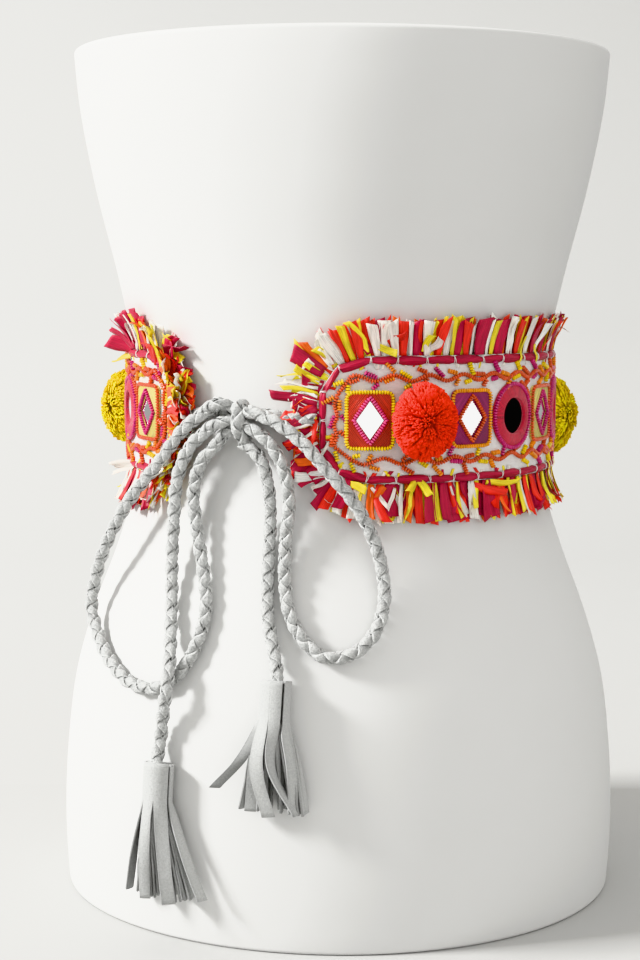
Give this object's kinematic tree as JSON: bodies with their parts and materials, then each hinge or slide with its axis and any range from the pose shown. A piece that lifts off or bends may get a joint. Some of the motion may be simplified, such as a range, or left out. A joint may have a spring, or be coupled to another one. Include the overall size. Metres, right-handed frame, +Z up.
{
  "type": "raffia wrap belt on a waist display form",
  "caption": "Raffia-fringed canvas wrap belt with bead-rimmed patches, mirrors and pompoms, tied in a bow with braided suede cords round a waist-shaped display form.",
  "frame": {"origin": "centre of the display form's flat underside, on the surface that it stands on", "axes": "+Z up along the form, +X to the viewer's right, -Y towards the viewer and the side where the belt is tied"},
  "size_m": [0.3042, 0.2811, 0.4503],
  "materials": {
    "form_white": "matt and smooth",
    "canvas": "off-white plain weave, beaded",
    "raffia": "flat dyed raffia, burgundy with red, yellow and cream",
    "satin_red": "satin-stitched red-brown thread",
    "satin_plum": "satin-stitched plum thread",
    "satin_yellow": "satin-stitched olive-yellow thread",
    "mirror_glass": "plain mirror glass",
    "yarn_red": "cut red-orange yarn",
    "yarn_mustard": "cut mustard yarn",
    "suede": "light grey suede strips, braided"
  },
  "bodies": {
    "root": {"waist_form": "form_white", "belt_band": "canvas", "binding_top": "raffia", "binding_bottom": "raffia", "binding_end_left": "raffia", "binding_end_right": "raffia", "fringe_top": "raffia", "fringe_bottom": "raffia", "fringe_end_left": "raffia", "fringe_end_right": "raffia", "patch_square_01": "satin_red", "mirror_square_01": "mirror_glass", "pompom_02": "yarn_red", "patch_square_03": "satin_plum", "mirror_square_03": "mirror_glass", "patch_ring_04": "satin_red", "mirror_round_04": "mirror_glass", "patch_square_05": "satin_yellow", "mirror_square_05": "mirror_glass", "patch_ring_06": "satin_red", "mirror_round_06": "mirror_glass", "patch_square_07": "satin_red", "mirror_square_07": "mirror_glass", "pompom_08": "yarn_mustard", "patch_square_09": "satin_plum", "mirror_square_09": "mirror_glass", "patch_ring_10": "satin_red", "mirror_round_10": "mirror_glass", "patch_square_11": "satin_yellow", "mirror_square_11": "mirror_glass", "patch_ring_12": "satin_red", "mirror_round_12": "mirror_glass", "patch_square_13": "satin_red", "mirror_square_13": "mirror_glass", "pompom_14": "yarn_red", "patch_square_15": "satin_plum", "mirror_square_15": "mirror_glass", "patch_ring_16": "satin_red", "mirror_round_16": "mirror_glass", "patch_square_17": "satin_red", "mirror_square_17": "mirror_glass", "pompom_18": "yarn_mustard", "patch_square_19": "satin_plum", "mirror_square_19": "mirror_glass", "patch_ring_20": "satin_red", "mirror_round_20": "mirror_glass", "patch_square_21": "satin_yellow", "mirror_square_21": "mirror_glass", "knot": "suede", "tie_left": "suede", "tie_right": "suede", "loop_left": "suede", "loop_right": "suede", "tail_left": "suede", "tail_right": "suede", "tassel_left": "suede", "tassel_right": "suede"}
  },
  "joints": []
}
